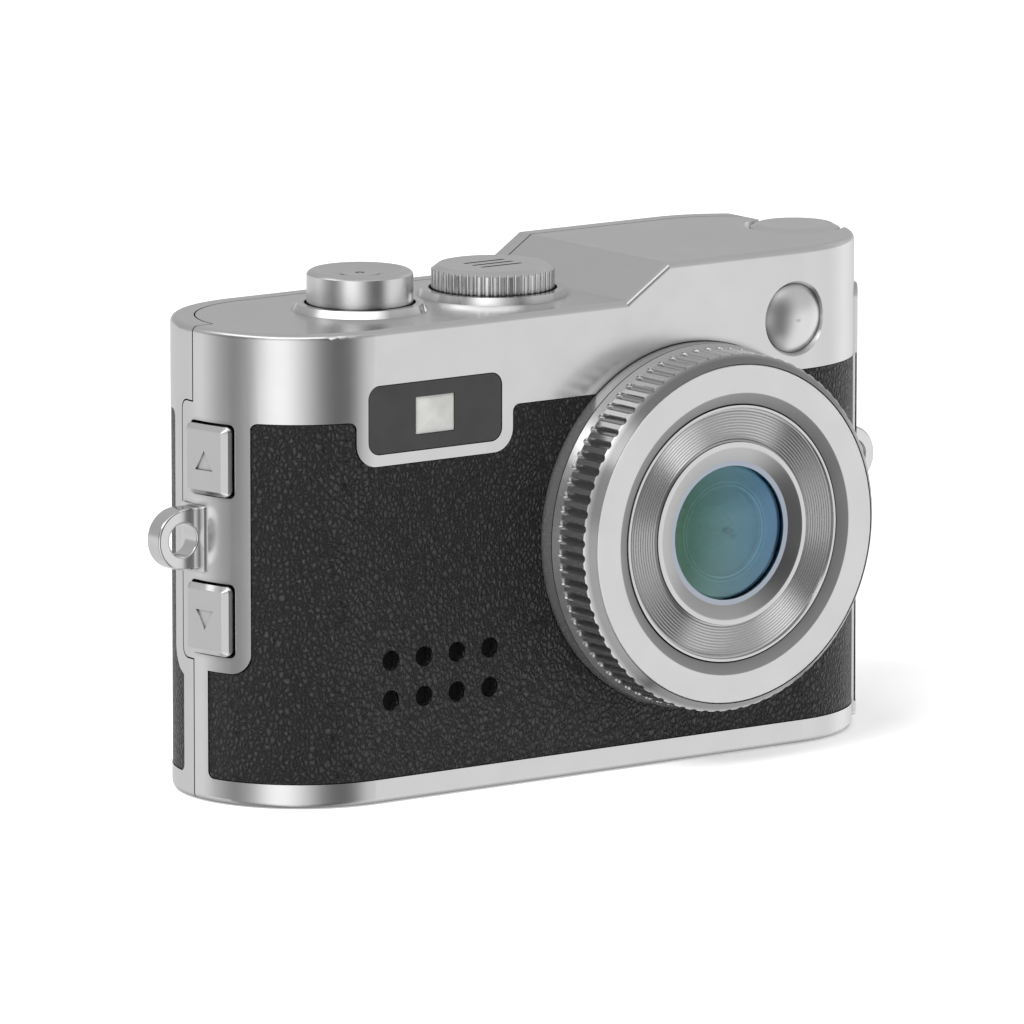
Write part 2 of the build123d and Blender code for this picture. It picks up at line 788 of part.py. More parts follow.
# ---- Side keys: square caps that slide in the end wall, held by a flange ---------------------
def side_key(offset, points_up):
    """A bevelled cap with a triangle sunk in its face."""
    face_level = end_radius + side_key_proud
    with BuildPart() as key:
        with BuildSketch(side_plane.offset(side_key_inner)):
            with Locations((0, offset)):
                RectangleRounded(side_key_width, side_key_height, side_key_corner)
        extrude(amount=face_level - side_key_inner)
        outer_face = key.faces().filter_by(lambda face: face.normal_at().dot(side_out) > 0.99).sort_by(
            lambda face: face.center().dot(side_out)
        )[-1]
        chamfer(outer_face.edges(), side_key_bevel)
        face_rim = key.faces().filter_by(lambda face: face.normal_at().dot(side_out) > 0.99).sort_by(
            lambda face: face.center().dot(side_out)
        )[-1].edges()
        fillet(face_rim, side_key_edge)
        with BuildSketch(side_plane.offset(side_key_inner)):
            with Locations((0, offset)):
                Rectangle(side_key_width + 2 * side_key_lip, side_key_height + 2 * side_key_lip)
        extrude(amount=side_key_flange)
        tip = arrow_height / 2 if points_up else -arrow_height / 2
        with BuildSketch(side_plane.offset(face_level - arrow_depth)):
            with BuildLine():
                Polyline(
                    (-arrow_base / 2, offset - tip),
                    (arrow_base / 2, offset - tip),
                    (0, offset + tip),
                    close=True,
                )
            make_face()
        extrude(amount=2 * arrow_depth, mode=Mode.SUBTRACT)
    return key.part


side_key_up = side_key(side_key_pitch / 2, True)
side_key_up.label = "side_key_up"
export_step(side_key_up, "parts/side_key_up.step")
side_key_down = side_key(-side_key_pitch / 2, False)
side_key_down.label = "side_key_down"
export_step(side_key_down, "parts/side_key_down.step")

with BuildPart() as side_switch_board:
    with BuildSketch(side_plane.offset(switch_board_outer - board_thickness)):
        Rectangle(side_key_width, switch_board_height)
    extrude(amount=board_thickness)
    with BuildSketch(side_plane.offset(switch_board_outer)):
        with GridLocations(0, side_key_pitch, 1, 2):
            Circle(side_key_width / 6)
    extrude(amount=switch_height)
side_switch_board.part.label = "side_switch_board"
export_step(side_switch_board.part, "parts/side_switch_board.step")

# ---- Flash: dark window, faceted diffuser, lamp module ---------------------------------------
with BuildPart() as flash_window:
    with BuildSketch(facing_front(front_y + flash_depth)):
        with Locations((flash_x, flash_z)):
            RectangleRounded(flash_width, flash_height, flash_corner)
            Rectangle(diffuser_width + fit, diffuser_height + fit, mode=Mode.SUBTRACT)
    extrude(amount=flash_depth - fit)
flash_window.part.label = "flash_window"
export_step(flash_window.part, "parts/flash_window.step")

diffuser_front = front_y + flash_depth / 4
diffuser_peak = 0.2
with BuildPart() as flash_diffuser:
    with BuildSketch(facing_front(front_inside)):
        with Locations((flash_x, flash_z)):
            Rectangle(diffuser_width - fit, diffuser_height - fit)
    extrude(amount=front_inside - diffuser_front)
    with BuildSketch(facing_front(diffuser_front)) as facet_base:
        with Locations((flash_x, flash_z)):
            Rectangle(diffuser_width - fit, diffuser_height - fit)
    with BuildSketch(facing_front(diffuser_front - diffuser_peak)) as facet_tip:
        with Locations((flash_x, flash_z)):
            Rectangle(diffuser_width / 8, diffuser_height / 8)
    loft([facet_base.sketch, facet_tip.sketch])
flash_diffuser.part.label = "flash_diffuser"
export_step(flash_diffuser.part, "parts/flash_diffuser.step")

flash_module_width = 14.0
flash_module_height = 9.4
flash_module_depth = 6.0
with BuildPart() as flash_module:
    with BuildSketch(facing_front(front_inside)):
        with Locations((flash_x, flash_z)):
            Rectangle(flash_module_width, flash_module_height)
    extrude(amount=-flash_module_depth)
flash_module.part.label = "flash_module"
export_step(flash_module.part, "parts/flash_module.step")

# ---- Speaker behind its holes ----------------------------------------------------------------
with BuildPart() as speaker:
    with BuildSketch(facing_front(front_inside)):
        with Locations((speaker_x, speaker_z)):
            Circle(speaker_radius)
    extrude(amount=-speaker_thickness)
    with BuildSketch(facing_front(front_inside + speaker_thickness)):
        with Locations((speaker_x, speaker_z)):
            Circle(speaker_radius * 0.6)
    extrude(amount=-speaker_thickness / 3)
speaker.part.label = "speaker"
export_step(speaker.part, "parts/speaker.step")

# ---- Selfie mirror: a domed disc in a bevelled recess ----------------------------------------
mirror_edge = mirror_seat / 2
mirror_profile = Plane(origin=(mirror_x, front_y, mirror_z), x_dir=(1, 0, 0), z_dir=(0, 0, -1))
with BuildPart() as selfie_mirror:
    with BuildSketch(mirror_profile):
        with BuildLine():
            rim_point = (mirror_radius - fit, -mirror_edge)
            apex = (0, mirror_bulge - mirror_edge)
            TangentArc(apex, rim_point, tangent=(1, 0))
            Polyline(apex, (0, -mirror_seat), (mirror_radius - fit, -mirror_seat), rim_point)
        make_face()
    revolve(axis=Axis((mirror_x, front_y, mirror_z), (0, -1, 0)))
selfie_mirror.part.label = "selfie_mirror"
export_step(selfie_mirror.part, "parts/selfie_mirror.step")


# ---- Lens: fixed boss, fluted control ring, name plate, dress ring, glass and barrel ---------
def lens_turning(points):
    """A ring turned about the lens axis from a closed outline of (radius, height) points."""
    with BuildPart() as turning:
        with BuildSketch(lens_profile):
            with BuildLine():
                Polyline(*points, close=True)
            make_face()
        revolve(axis=lens_axis)
    return turning.part


barrel_seat = barrel_radius + fit
guide_floor = 3.0
lens_boss = lens_turning([
    (barrel_seat, -wall),
    (spigot_radius - fit, -wall),
    (spigot_radius - fit, -boss_sink),
    (boss_radius, -boss_sink),
    (boss_radius, boss_height),
    (guide_radius, boss_height),
    (guide_radius, guide_height),
    (guide_bore, guide_height),
    (guide_bore, guide_floor),
    (barrel_seat, guide_floor),
])
lens_boss.label = "lens_boss"
export_step(lens_boss, "parts/lens_boss.step")

ring_bore = guide_radius + fit
ring_lip = 1.15
ring_step = ring_front - ring_lip
flute_middle = ring_radius - flute_sink + flute_radius


def rim_flute():
    """One ball-ended flute, lying on the ring's rim at the top."""
    flute_plane = Plane(
        origin=(0, front_y, lens_level + flute_middle), x_dir=(0, -1, 0), z_dir=(1, 0, 0)
    )
    with BuildPart() as flute:
        with BuildSketch(flute_plane):
            with Locations(((ring_flute_start + ring_flute_end) / 2, 0)):
                SlotOverall(ring_flute_end - ring_flute_start + flute_radius, 2 * flute_radius)
                Rectangle(2 * ring_radius, 2 * flute_radius, align=(Align.CENTER, Align.MAX),
                          mode=Mode.SUBTRACT)
        revolve(axis=Axis((0, front_y, lens_level + flute_middle), (0, -1, 0)))
    return flute.part


one_flute = rim_flute()
with BuildPart() as control_ring:
    add(lens_turning([
        (ring_bore, ring_back),
        (boss_radius - 2 * fit, ring_back),
        (boss_radius, ring_back + 2 * fit),
        (ring_radius, ring_flute_start),
        (ring_radius, ring_flute_end),
        (plate_radius + fit, ring_front),
        (plate_radius + fit, ring_step),
        (ring_bore, ring_step),
    ]))
    for index in range(flute_count):
        add(one_flute.rotate(lens_axis, index * 360 / flute_count), mode=Mode.SUBTRACT)
control_ring.part.label = "control_ring"
export_step(control_ring.part, "parts/control_ring.step")

lens_plate = lens_turning([
    (plate_inner_radius, guide_height),
    (guide_radius - fit, guide_height),
    (guide_radius - fit, ring_step + 2 * fit),
    (plate_radius - fit, ring_step + 2 * fit),
    (plate_radius - fit, plate_front - 2 * fit),
    (plate_radius - 3 * fit, plate_front),
    (plate_cone_radius, plate_front),
    (plate_inner_radius, plate_front - plate_cone_depth),
])
lens_plate.label = "lens_plate"
export_step(lens_plate, "parts/lens_plate.step")

bead_radius = 0.3
dress_thickness = 1.2
dress_outer = plate_inner_radius - fit
groove_pitch = (dress_outer - 2 * bead_radius - dress_inner_radius) / (dress_groove_count + 0.5)
dress_points = [
    (dress_outer - 3 * bead_radius, guide_floor),
    (dress_outer, guide_floor),
    (dress_outer, dress_front),
    (dress_outer - bead_radius / 2, dress_front + bead_radius),
    (dress_outer - 3 * bead_radius / 2, dress_front + bead_radius),
    (dress_outer - 2 * bead_radius, dress_front),
]
for index in range(dress_groove_count):
    crest = dress_outer - 2 * bead_radius - (index + 0.25) * groove_pitch
    dress_points.append((crest, dress_front))
    dress_points.append((crest - groove_pitch / 2, dress_front - dress_groove_depth))
dress_points += [
    (dress_inner_radius + fit, dress_front),
    (dress_inner_radius + fit, dress_front - dress_thickness),
    (dress_outer - 3 * bead_radius, dress_front - dress_thickness),
]
dress_ring = lens_turning(dress_points)
dress_ring.label = "dress_ring"
export_step(dress_ring, "parts/dress_ring.step")

lip_back = glass_edge_high
lip_thickness = 0.33
lip_slope = 0.03
glass_retainer = lens_turning([
    (glass_radius + fit, glass_edge_low),
    (dress_inner_radius, glass_edge_low),
    (dress_inner_radius, retainer_front),
    (retainer_cone_radius, retainer_front),
    (glass_radius + 2 * fit, lip_back + lip_thickness + lip_slope),
    (glass_opening, lip_back + lip_thickness),
    (glass_opening, lip_back),
    (glass_radius + fit, lip_back),
])
glass_retainer.label = "glass_retainer"
export_step(glass_retainer, "parts/glass_retainer.step")


def lens_element(radius, back_edge, front_edge, back_centre, front_centre):
    """A round glass with a ground edge and two spherical faces."""
    with BuildPart() as element:
        with BuildSketch(lens_profile):
            with BuildLine():
                Line((radius, back_edge), (radius, front_edge))
                TangentArc((0, front_centre), (radius, front_edge), tangent=(1, 0))
                Line((0, front_centre), (0, back_centre))
                TangentArc((0, back_centre), (radius, back_edge), tangent=(1, 0))
            make_face()
        revolve(axis=lens_axis)
    return element.part


glass_edge_top = glass_edge_high - 8 * fit
glass_back_apex = glass_edge_low + 0.5
front_glass = lens_element(
    glass_radius, glass_edge_low, glass_edge_top, glass_back_apex, glass_apex
)
front_glass.label = "front_glass"
export_step(front_glass, "parts/front_glass.step")

barrel_back = front_y - barrel_back_y
sensor_bore = 7.0
sensor_wall = 6.0
lens_barrel = lens_turning([
    (barrel_bore, barrel_back + sensor_wall),
    (sensor_bore, barrel_back + sensor_wall),
    (sensor_bore, barrel_back),
    (barrel_radius, barrel_back),
    (barrel_radius, glass_edge_low),
    (barrel_bore, glass_edge_low),
])
lens_barrel.label = "lens_barrel"
export_step(lens_barrel, "parts/lens_barrel.step")

ring_seat = 5.2
ring_rim_height = 1.3
ring_rise = 0.45
ring_bevel = 0.25
inner_lens_ring = lens_turning([
    (inner_ring_radius, ring_seat),
    (barrel_bore - fit, ring_seat),
    (barrel_bore - fit, ring_seat + ring_rim_height),
    (inner_ring_radius + ring_rise + ring_bevel, ring_seat + ring_rim_height + ring_rise),
    (inner_ring_radius + ring_bevel, ring_seat + ring_rim_height + ring_rise),
    (inner_ring_radius, ring_seat + ring_rim_height + ring_rise - ring_bevel),
])
inner_lens_ring.label = "inner_lens_ring"
export_step(inner_lens_ring, "parts/inner_lens_ring.step")

inner_glass_edge = 0.9
inner_glass_hollow = 0.2
inner_glass_rise = 1.7
inner_glass = lens_element(
    inner_ring_radius - fit, ring_seat, ring_seat + inner_glass_edge,
    ring_seat + inner_glass_hollow, ring_seat + inner_glass_rise,
)
inner_glass.label = "inner_glass"
export_step(inner_glass, "parts/inner_glass.step")

aperture_back = 4.2
aperture_edge = 0.3
aperture_plate = lens_turning([
    (aperture_radius, aperture_back + aperture_edge),
    (aperture_radius, aperture_back + 2 * aperture_edge),
    (inner_ring_radius, ring_seat),
    (barrel_bore - fit, ring_seat),
    (barrel_bore - fit, aperture_back),
    (inner_ring_radius, aperture_back),
])
aperture_plate.label = "aperture_plate"
export_step(aperture_plate, "parts/aperture_plate.step")

rear_glass_edge_back = -6.0
rear_glass_edge = 2.0
rear_glass_rise = 0.9
rear_glass = lens_element(
    barrel_bore - fit, rear_glass_edge_back, rear_glass_edge_back + rear_glass_edge,
    rear_glass_edge_back - rear_glass_rise, rear_glass_edge_back + rear_glass_edge + rear_glass_rise,
)
rear_glass.label = "rear_glass"
export_step(rear_glass, "parts/rear_glass.step")

sensor_width = 8.2
sensor_height = 6.4
sensor_thickness = 1.0
sensor_board_size = 20.0
sensor_board_thickness = 1.2
with BuildPart() as image_sensor:
    with BuildSketch(facing_front(barrel_back_y)):
        with Locations((0, lens_level)):
            Rectangle(sensor_width, sensor_height)
    extrude(amount=sensor_thickness)
image_sensor.part.label = "image_sensor"
export_step(image_sensor.part, "parts/image_sensor.step")

with BuildPart() as sensor_board:
    with BuildSketch(facing_front(barrel_back_y)):
        with Locations((0, lens_level)):
            Rectangle(sensor_board_size, sensor_board_size)
    extrude(amount=-sensor_board_thickness)
sensor_board.part.label = "sensor_board"
export_step(sensor_board.part, "parts/sensor_board.step")


# ---- Shutter button in its collar ------------------------------------------------------------
def top_turning(centre_x, centre_y, height, points):
    """A piece turned about an upright axis from (radius, height) points measured from a face."""
    profile = Plane(origin=(centre_x, centre_y, height), x_dir=(1, 0, 0), z_dir=(0, -1, 0))
    with BuildPart() as turning:
        with BuildSketch(profile):
            with BuildLine():
                Polyline(*points, close=True)
            make_face()
        revolve(axis=Axis((centre_x, centre_y, height), (0, 0, 1)))
    return turning.part


stem_radius = 2.0
collar_base = 1.0
collar_lip = 1.2
cap_wall = 1.2
collar_floor = collar_base - shutter_floor_drop
collar_mouth = shutter_radius + shutter_gap
shutter_collar = top_turning(shutter_x, shutter_y, low_height, [
    (shutter_collar_radius, 0),
    (shutter_collar_top_radius, collar_height),
    (collar_mouth, collar_height),
    (collar_mouth, collar_height - collar_lip),
    (shutter_radius + fit, collar_height - collar_lip),
    (shutter_radius + fit, collar_floor),
    (stem_radius + fit, collar_floor),
    (stem_radius + fit, -shutter_floor_drop),
    (collar_bore, -shutter_floor_drop),
    (collar_bore, 0),
])
shutter_collar.label = "shutter_collar"
export_step(shutter_collar, "parts/shutter_collar.step")

skirt_clearance = 0.5
skirt_bottom = collar_floor + shutter_travel + skirt_clearance
cap_roof = 3.2
disc_radius = 2.42
dish_depth = 0.75
disc_rise = 0.3
dish_sag = 0.2
dish_low = shutter_top - dish_depth
disc_height = dish_low + disc_rise
stem_bottom = -shutter_floor_drop - skirt_clearance
rim_flat = 0.35
dish_radius = shutter_rim_radius - rim_flat
crown = 0.11
button_profile = Plane(
    origin=(shutter_x, shutter_y, low_height), x_dir=(1, 0, 0), z_dir=(0, -1, 0)
)
button_axis = Axis((shutter_x, shutter_y, low_height), (0, 0, 1))
with BuildPart() as shutter_button:
    with BuildSketch(button_profile):
        with BuildLine():
            Polyline(
                (disc_radius, dish_low),
                (disc_radius, disc_height - fit),
                (disc_radius - fit, disc_height),
                (0, disc_height),
                (0, stem_bottom),
                (stem_radius, stem_bottom),
                (stem_radius, cap_roof),
                (shutter_radius - cap_wall, cap_roof),
                (shutter_radius - cap_wall, skirt_bottom),
                (shutter_radius, skirt_bottom),
                (shutter_radius, shutter_shoulder),
            )
            ThreePointArc(
                (shutter_radius, shutter_shoulder),
                (
                    (shutter_radius + shutter_rim_radius) / 2 + crown,
                    (shutter_shoulder + shutter_top) / 2 + crown,
                ),
                (shutter_rim_radius, shutter_top),
            )
            Line((shutter_rim_radius, shutter_top), (dish_radius, shutter_top))
            ThreePointArc(
                (dish_radius, shutter_top),
                ((dish_radius + disc_radius) / 2, dish_low + dish_sag),
                (disc_radius, dish_low),
            )
        make_face()
    revolve(axis=button_axis)
    # small ring sunk in the finger disc
    with BuildSketch(Plane.XY.offset(low_height + disc_height - arrow_depth / 2)):
        with Locations((shutter_x, shutter_y)):
            Circle(disc_radius / 4)
            Circle(disc_radius / 8, mode=Mode.SUBTRACT)
    extrude(amount=arrow_depth, mode=Mode.SUBTRACT)
shutter_button.part.label = "shutter_button"
export_step(shutter_button.part, "parts/shutter_button.step")

spring_low = low_height + collar_floor + spring_wire
spring_height = cap_roof - collar_floor - 2 * spring_wire
with BuildPart() as shutter_spring:
    with BuildLine() as coil:
        Helix(spring_height / spring_turns, spring_height, spring_radius,
              center=(shutter_x, shutter_y, spring_low))
    with BuildSketch(Plane(origin=coil.line @ 0, z_dir=coil.line % 0)):
        Circle(spring_wire)
    sweep(path=coil.line, is_frenet=True)
shutter_spring.part.label = "shutter_spring"
export_step(shutter_spring.part, "parts/shutter_spring.step")

switch_size = 9.0
switch_cup = 2.2
switch_plunger = 0.3
with BuildPart() as shutter_switch:
    with BuildSketch(Plane.XY.offset(low_height - shutter_floor_drop)):
        with Locations((shutter_x, shutter_y)):
            Rectangle(switch_size, switch_size)
    extrude(amount=-2 * switch_cup)
    with BuildSketch(Plane.XY.offset(low_height - shutter_floor_drop)):
        with Locations((shutter_x, shutter_y)):
            Circle(stem_radius + 8 * fit)
    extrude(amount=-switch_cup, mode=Mode.SUBTRACT)
    with BuildSketch(Plane.XY.offset(low_height - shutter_floor_drop - switch_cup)):
        with Locations((shutter_x, shutter_y)):
            Circle(stem_radius / 2)
    extrude(amount=switch_plunger)
shutter_switch.part.label = "shutter_switch"
export_step(shutter_switch.part, "parts/shutter_switch.step")

# ---- Mode dial -------------------------------------------------------------------------------
dial_shaft_radius = 1.5
dial_lift = 0.1
encoder_height = 4.0
encoder_size = 10.0
encoder_floor = 0.6
shaft_clearance = 0.2
shaft_end = encoder_height - encoder_floor - shaft_clearance
mode_collar = top_turning(mode_x, mode_y, low_height, [
    (mode_collar_radius, 0),
    (mode_collar_top_radius, collar_height),
    (mode_radius + mode_gap, collar_height),
    (mode_radius + mode_gap, 0),
])
mode_collar.label = "mode_dial_collar"
export_step(mode_collar, "parts/mode_dial_collar.step")

mark_length = 6.4
mark_width = 0.55
mark_pitch = 1.9
with BuildPart() as mode_dial:
    add(top_turning(mode_x, mode_y, low_height, [
        (0, -wall - shaft_end),
        (dial_shaft_radius, -wall - shaft_end),
        (dial_shaft_radius, dial_lift),
        (mode_radius, dial_lift),
        (mode_radius, mode_shoulder),
        (mode_top_radius, mode_top),
        (0, mode_top),
    ]))
    with BuildSketch(Plane.XY.offset(low_height)):
        with Locations((mode_x, mode_y)):
            with PolarLocations(mode_radius + mode_flute_radius / 4, mode_flutes):
                Circle(mode_flute_radius)
    extrude(amount=mode_top + 1, mode=Mode.SUBTRACT)
    # three plain bars sunk in the top
    with BuildSketch(Plane.XY.offset(low_height + mode_top - arrow_depth)):
        with Locations((mode_x, mode_y)):
            with GridLocations(0, mark_pitch, 1, 3):
                SlotOverall(mark_length, mark_width)
    extrude(amount=2 * arrow_depth, mode=Mode.SUBTRACT)
mode_dial.part.label = "mode_dial"
export_step(mode_dial.part, "parts/mode_dial.step")

with BuildPart() as mode_encoder:
    with BuildSketch(Plane.XY.offset(low_inside)):
        with Locations((mode_x, mode_y)):
            Rectangle(encoder_size, encoder_size)
    extrude(amount=-encoder_height)
    with BuildSketch(Plane.XY.offset(low_inside)):
        with Locations((mode_x, mode_y)):
            Circle(dial_shaft_radius + fit)
    extrude(amount=-shaft_end - shaft_clearance, mode=Mode.SUBTRACT)
mode_encoder.part.label = "mode_encoder"
export_step(mode_encoder.part, "parts/mode_encoder.step")

# ---- Thumb dial ------------------------------------------------------------------------------
thumb_roof = pocket_floor - wall
with BuildPart() as thumb_dial:
    add(top_turning(thumb_x, thumb_y, high_height, [
        (0, -pocket_depth - wall - shaft_end),
        (dial_shaft_radius, -pocket_depth - wall - shaft_end),
        (dial_shaft_radius, dial_lift - pocket_depth),
        (thumb_radius, dial_lift - pocket_depth),
        (thumb_radius, thumb_proud - thumb_bevel),
        (thumb_top_radius, thumb_proud),
        (0, thumb_proud),
    ]))
    with BuildSketch(Plane.XY.offset(pocket_floor)):
        with Locations((thumb_x, thumb_y)):
            with PolarLocations(thumb_radius + thumb_tooth_radius / 4, thumb_teeth):
                Circle(thumb_tooth_radius)
    extrude(amount=pocket_depth + 1, mode=Mode.SUBTRACT)
thumb_dial.part.label = "thumb_dial"
export_step(thumb_dial.part, "parts/thumb_dial.step")

thumb_encoder_radius = 3.8
with BuildPart() as thumb_encoder:
    with BuildSketch(Plane.XY.offset(thumb_roof)):
        with Locations((thumb_x, thumb_y)):
            Circle(thumb_encoder_radius)
    extrude(amount=-encoder_height)
    with BuildSketch(Plane.XY.offset(thumb_roof)):
        with Locations((thumb_x, thumb_y)):
            Circle(dial_shaft_radius + fit)
    extrude(amount=-shaft_end - shaft_clearance, mode=Mode.SUBTRACT)
thumb_encoder.part.label = "thumb_encoder"
export_step(thumb_encoder.part, "parts/thumb_encoder.step")

# ---- Screen ----------------------------------------------------------------------------------
with BuildPart() as screen_window:
    with BuildSketch(facing_front(back_y - fit)):
        with Locations((screen_x, screen_z)):
            RectangleRounded(screen_width - 2 * fit, screen_height - 2 * fit, screen_corner)
    extrude(amount=screen_glass - fit)
screen_window.part.label = "screen_window"
export_step(screen_window.part, "parts/screen_window.step")

module_front = back_inside - module_thickness
with BuildPart() as screen_module:
    with BuildSketch(facing_front(back_inside)):
        with Locations((screen_x, screen_z)):
            Rectangle(screen_width - screen_border, screen_height - screen_border)
    extrude(amount=module_thickness)
screen_module.part.label = "screen_module"
export_step(screen_module.part, "parts/screen_module.step")

# ---- Main board, joined to the sensor board by a plug block ----------------------------------
board_left = -28.0
board_width = 48.0
board_low = 6.0
board_height = 50.0
plug_width = 16.0
plug_height = 9.0
chip_size = 11.0
chip_height = 1.2
board_front = module_front - board_thickness
with BuildPart() as main_board:
    with BuildSketch(facing_front(module_front)):
        with Locations((board_left + board_width / 2, board_low + board_height / 2)):
            Rectangle(board_width, board_height)
    extrude(amount=board_thickness)
    with BuildSketch(facing_front(board_front)):
        with Locations((0, lens_level)):
            Rectangle(plug_width, plug_height)
    extrude(amount=board_front - barrel_back_y - sensor_board_thickness)
    with BuildSketch(facing_front(board_front)):
        with Locations((board_left + board_width / 2, lens_level)):
            with GridLocations(0, 2 * plug_width, 1, 2):
                Rectangle(2 * chip_size, chip_size)
    extrude(amount=chip_height)
main_board.part.label = "main_board"
export_step(main_board.part, "parts/main_board.step")


# ---- Keys on the back ------------------------------------------------------------------------
key_flange = 0.8
key_rest = back_inside - 0.3
dome_height = 0.5
stem_tip = key_board_y + 2 * dome_height
pad_stem_radius = 0.8


def back_key(centre, radius, bore, rest, stems):
    """A round or ring-shaped cap with a flange at rest behind the wall, and stems to the switches."""
    with BuildPart() as key:
        with BuildSketch(facing_front(back_y + back_key_proud)):
            with Locations(centre):
                Circle(radius)
                if bore:
                    Circle(bore, mode=Mode.SUBTRACT)
        extrude(amount=back_y + back_key_proud - rest + key_flange)
        cap_face = key.faces().sort_by(Axis.Y)[-1]
        fillet(cap_face.edges(), back_key_proud / 3)
        with BuildSketch(facing_front(rest)):
            with Locations(centre):
                Circle(radius + key_flange)
                if bore:
                    Circle(bore, mode=Mode.SUBTRACT)
        extrude(amount=key_flange)
        with BuildSketch(facing_front(rest - key_flange)):
            with Locations(*stems):
                Circle(pad_stem_radius)
        extrude(amount=rest - key_flange - stem_tip)
    return key.part


pad_place = (pad_x, pad_z)
pad_bore = ok_radius + back_key_gap
pad_stem_reach = (pad_bore + pad_radius) / 2 + back_key_gap
pad_stem_places = []
for turn in range(4):
    direction = radians(90 * turn)
    pad_stem_places.append(
        (pad_x + pad_stem_reach * cos(direction), pad_z + pad_stem_reach * sin(direction))
    )
nav_ring = back_key(pad_place, pad_radius, pad_bore, key_rest, pad_stem_places)
nav_ring.label = "nav_ring"
export_step(nav_ring, "parts/nav_ring.step")

ok_rest = key_rest - key_flange - back_key_travel - back_key_gap
ok_key = back_key(pad_place, ok_radius, 0, ok_rest, [pad_place])
ok_key.label = "ok_key"
export_step(ok_key, "parts/ok_key.step")

menu_key = back_key(key_places[0], key_radius, 0, key_rest, key_places[:1])
menu_key.label = "menu_key"
export_step(menu_key, "parts/menu_key.step")
play_key = back_key(key_places[1], key_radius, 0, key_rest, key_places[1:])
play_key.label = "play_key"
export_step(play_key, "parts/play_key.step")

key_board_margin = 4.0
with BuildPart() as key_board:
    board_middle = (pad_z - pad_radius + key_z + key_radius) / 2
    with BuildSketch(facing_front(key_board_y)):
        with Locations((pad_x, board_middle)):
            Rectangle(
                2 * pad_radius + key_board_margin,
                key_z + key_radius - pad_z + pad_radius + key_board_margin,
            )
    extrude(amount=board_thickness)
    with BuildSketch(facing_front(key_board_y)):
        with Locations(pad_place, *key_places, *pad_stem_places):
            Circle(pad_stem_radius)
    extrude(amount=-dome_height)
key_board.part.label = "key_board"
export_step(key_board.part, "parts/key_board.step")

# ---- Battery, its bay, the hinged door and the hinge pin -------------------------------------
battery_low = wall + fit
battery_corner = 1.0
with BuildPart() as battery:
    with BuildSketch(Plane.XY.offset(battery_low)):
        with Locations((battery_left + battery_width / 2, battery_front + battery_thickness / 2)):
            RectangleRounded(battery_width, battery_thickness, battery_corner)
    extrude(amount=battery_height)
battery.part.label = "battery"
export_step(battery.part, "parts/battery.step")

bay_gap = 0.25
bay_wall = 1.0
bay_low = 2 * hinge_radius + bay_gap
bay_middle_x = battery_left + battery_width / 2
bay_middle_y = battery_front + battery_thickness / 2
bay_width = battery_width + 2 * (bay_gap + bay_wall)
bay_depth = battery_thickness + 2 * (bay_gap + bay_wall)
bay_foot_reach = 2.6
bay_foot_back = hinge_y - hinge_radius - wall
with BuildPart() as battery_bay:
    with BuildSketch(Plane.XY.offset(bay_low)):
        with Locations((bay_middle_x, bay_middle_y)):
            Rectangle(bay_width, bay_depth)
    extrude(amount=battery_low + battery_height + bay_wall - bay_low)
    with BuildSketch(Plane.XY.offset(bay_low)):
        with Locations((bay_middle_x, bay_middle_y)):
            Rectangle(battery_width + 2 * bay_gap, battery_thickness + 2 * bay_gap)
    extrude(amount=battery_low + battery_height - bay_low, mode=Mode.SUBTRACT)
    with BuildSketch(Plane.XY.offset(wall)):
        foot_front = bay_middle_y - bay_depth / 2
        with Locations((bay_middle_x, (foot_front + bay_foot_back) / 2)):
            Rectangle(bay_width + 2 * bay_foot_reach, bay_foot_back - foot_front)
            Rectangle(door_width + 2 * door_gap, body_depth, mode=Mode.SUBTRACT)
    extrude(amount=bay_low - wall)
    with BuildSketch(Plane.XY.offset(bay_low)):
        with Locations((bay_middle_x, (foot_front + bay_foot_back) / 2)):
            Rectangle(bay_width + 2 * bay_foot_reach, bay_foot_back - foot_front)
            Rectangle(battery_width + 2 * bay_gap, body_depth, mode=Mode.SUBTRACT)
    extrude(amount=bay_wall)
battery_bay.part.label = "battery_bay"
export_step(battery_bay.part, "parts/battery_bay.step")

door_edge = 0.3
with BuildPart() as battery_door:
    with BuildSketch(Plane.XY):
        with Locations((door_left + door_width / 2, door_front + door_depth / 2)):
            Rectangle(door_width, door_depth)
    extrude(amount=door_thickness)
    with BuildSketch(Plane.YZ.offset(door_left)):
        with Locations((hinge_y, hinge_z)):
            Circle(hinge_radius)
    extrude(amount=door_width)
    with BuildSketch(Plane.YZ.offset(door_left)):
        with Locations((hinge_y, hinge_z)):
            Circle(hinge_pin_radius + fit)
    extrude(amount=door_width, mode=Mode.SUBTRACT)
    # finger groove along the free edge
    with BuildSketch(Plane.YZ.offset(door_left + door_width / 3)):
        with Locations((door_front + 2 * door_edge, 0)):
            Circle(2 * door_edge)
    extrude(amount=door_width / 3, mode=Mode.SUBTRACT)
battery_door.part.label = "battery_door"
export_step(battery_door.part, "parts/battery_door.step")

with BuildPart() as hinge_pin:
    with BuildSketch(Plane.YZ.offset(door_left - door_gap - door_rest)):
        with Locations((hinge_y, hinge_z)):
            Circle(hinge_pin_radius)
    extrude(amount=door_width + 2 * (door_gap + door_rest))
hinge_pin.part.label = "hinge_pin"
export_step(hinge_pin.part, "parts/hinge_pin.step")

# ---- Tripod socket and case screws -----------------------------------------------------------
socket_floor = 0.5
with BuildPart() as tripod_socket:
    with BuildSketch(Plane.XY):
        Circle(socket_flange_radius)
    extrude(amount=socket_depth)
    with BuildSketch(Plane.XY):
        Circle(socket_radius)
    extrude(amount=socket_depth - socket_floor, mode=Mode.SUBTRACT)
tripod_socket.part.label = "tripod_socket"
export_step(tripod_socket.part, "parts/tripod_socket.step")

